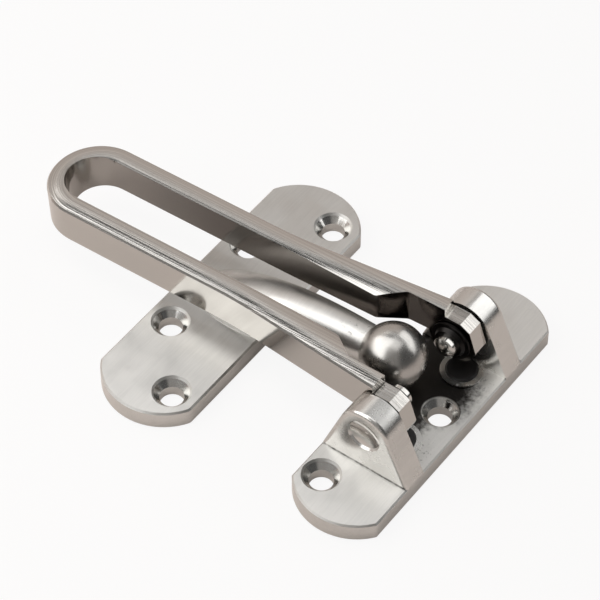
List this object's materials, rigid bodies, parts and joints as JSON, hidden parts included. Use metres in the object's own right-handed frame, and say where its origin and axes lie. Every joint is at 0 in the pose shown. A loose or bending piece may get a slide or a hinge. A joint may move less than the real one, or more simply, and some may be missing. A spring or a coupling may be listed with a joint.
{
  "type": "swing bar door guard",
  "caption": "Swing bar door guard: a hinge plate with a slotted bar that swings over the ball on an arm from a second plate, so the door opens only a little.",
  "frame": {"origin": "middle of the hinge plate's back face", "axes": "+X from the bar's free end to the hinge plate, +Y along the hinge axis, +Z off the wall"},
  "size_m": [0.1062, 0.0738, 0.0212],
  "materials": {
    "satin_nickel": "satin nickel plate on a zinc casting",
    "polished_nickel": "polished nickel plate",
    "black_steel": "black oxide on spring steel",
    "black_bumper": "moulded rubber"
  },
  "bodies": {
    "base": {"hinge_plate": "satin_nickel", "pivot_pin_near": "polished_nickel", "pivot_pin_far": "polished_nickel", "retaining_ring_near": "black_steel", "retaining_ring_far": "black_steel", "bumper_near": "black_bumper", "bumper_far": "black_bumper", "ball_plate": "satin_nickel", "ball": "polished_nickel"},
    "bar": {"swing_bar": "satin_nickel"}
  },
  "joints": [
    {"name": "bar_swing", "type": "hinge", "parent": "base", "child": "bar", "pos_m": [-0.0004, 0, 0.0137], "axis": [0, 1, 0], "range_deg": [0, 180]}
  ]
}
